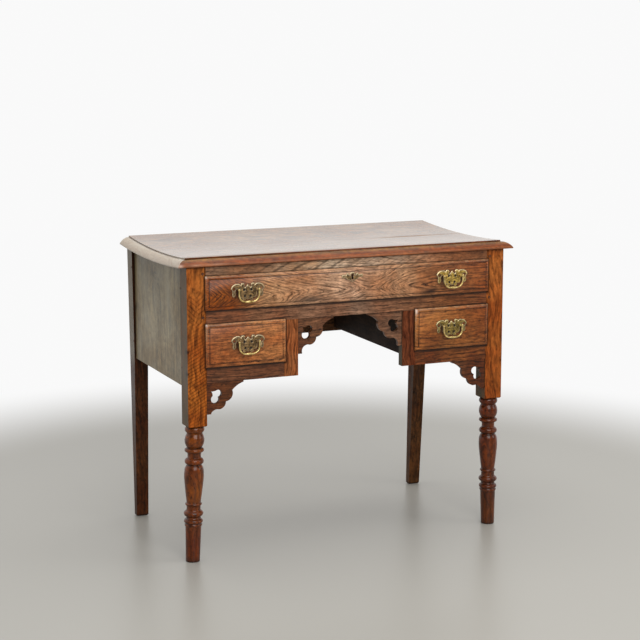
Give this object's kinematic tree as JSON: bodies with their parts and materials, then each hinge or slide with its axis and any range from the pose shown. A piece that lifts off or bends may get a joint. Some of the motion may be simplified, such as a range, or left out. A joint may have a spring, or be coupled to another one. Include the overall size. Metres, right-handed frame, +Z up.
{
  "type": "lowboy",
  "caption": "Side table with a full-width drawer over two small drawers beside a knee hole, on turned front legs, with swinging bail handles.",
  "frame": {"origin": "centre of the footprint of the whole object, on the floor", "axes": "+X along the front towards the right-hand small drawer as seen from the front, +Y from the front to the back, +Z up"},
  "size_m": [0.892, 0.4794, 0.7449],
  "materials": {
    "oak_top": "waxed oak, worn and lightly polished",
    "oak_case": "waxed oak",
    "oak_front": "waxed figured oak",
    "oak_dark": "dark stained oak",
    "oak_lining": "dry unpolished oak",
    "brass": "aged cast brass",
    "iron": "dull iron"
  },
  "bodies": {
    "case": {"top_front_board": "oak_top", "top_back_board": "oak_top", "draw_bore_pegs": "oak_dark", "top_rail": "oak_case", "mid_rail": "oak_case", "lower_rail_right": "oak_case", "lower_rail_left": "oak_case", "knee_stile_right": "oak_case", "knee_stile_left": "oak_case", "front_leg_right": "oak_case", "front_leg_left": "oak_case", "back_leg_right": "oak_dark", "back_leg_left": "oak_dark", "side_panel_right": "oak_case", "side_panel_left": "oak_case", "back_board": "oak_lining", "knee_panel_right": "oak_lining", "knee_panel_left": "oak_lining", "top_drawer_runner_right": "oak_lining", "top_drawer_runner_left": "oak_lining", "small_drawer_runners_right": "oak_lining", "small_drawer_runners_left": "oak_lining", "drawer_guides": "oak_lining", "kickers": "oak_lining", "knee_bearer_right": "oak_lining", "knee_bearer_left": "oak_lining", "top_blocks": "oak_lining", "knee_bracket_left": "oak_dark", "knee_bracket_right": "oak_dark", "outer_bracket_left": "oak_dark", "outer_bracket_right": "oak_dark"},
    "top_drawer": {"top_left_handle_plate": "brass", "top_left_handle_posts": "brass", "top_right_handle_plate": "brass", "top_right_handle_posts": "brass", "top_drawer_front": "oak_front", "top_drawer_left_side": "oak_lining", "top_drawer_right_side": "oak_lining", "top_drawer_back": "oak_lining", "top_drawer_bottom": "oak_lining", "escutcheon": "brass", "drawer_lock": "iron"},
    "left_drawer": {"small_left_handle_plate": "brass", "small_left_handle_posts": "brass", "left_drawer_front": "oak_front", "left_drawer_left_side": "oak_lining", "left_drawer_right_side": "oak_lining", "left_drawer_back": "oak_lining", "left_drawer_bottom": "oak_lining"},
    "right_drawer": {"small_right_handle_plate": "brass", "small_right_handle_posts": "brass", "right_drawer_front": "oak_front", "right_drawer_left_side": "oak_lining", "right_drawer_right_side": "oak_lining", "right_drawer_back": "oak_lining", "right_drawer_bottom": "oak_lining"},
    "top_left_handle_bail": {"top_left_handle_bail": "brass"},
    "top_right_handle_bail": {"top_right_handle_bail": "brass"},
    "small_left_handle_bail": {"small_left_handle_bail": "brass"},
    "small_right_handle_bail": {"small_right_handle_bail": "brass"}
  },
  "joints": [
    {"name": "top_drawer_slide", "type": "slide", "parent": "case", "child": "top_drawer", "axis": [0, -1, 0], "range_m": [0, 0.3]},
    {"name": "left_drawer_slide", "type": "slide", "parent": "case", "child": "left_drawer", "axis": [0, -1, 0], "range_m": [0, 0.3]},
    {"name": "right_drawer_slide", "type": "slide", "parent": "case", "child": "right_drawer", "axis": [0, -1, 0], "range_m": [0, 0.3]},
    {"name": "top_left_bail_swing", "type": "hinge", "parent": "top_drawer", "child": "top_left_handle_bail", "pos_m": [-0.27305, -0.23635, 0.66425], "axis": [-1, 0, 0], "range_deg": [-10, 170]},
    {"name": "top_right_bail_swing", "type": "hinge", "parent": "top_drawer", "child": "top_right_handle_bail", "pos_m": [0.27305, -0.23635, 0.66425], "axis": [-1, 0, 0], "range_deg": [-10, 170]},
    {"name": "small_left_bail_swing", "type": "hinge", "parent": "left_drawer", "child": "small_left_handle_bail", "pos_m": [-0.27305, -0.23635, 0.53815], "axis": [-1, 0, 0], "range_deg": [-10, 170]},
    {"name": "small_right_bail_swing", "type": "hinge", "parent": "right_drawer", "child": "small_right_handle_bail", "pos_m": [0.27305, -0.23635, 0.53815], "axis": [-1, 0, 0], "range_deg": [-10, 170]}
  ]
}
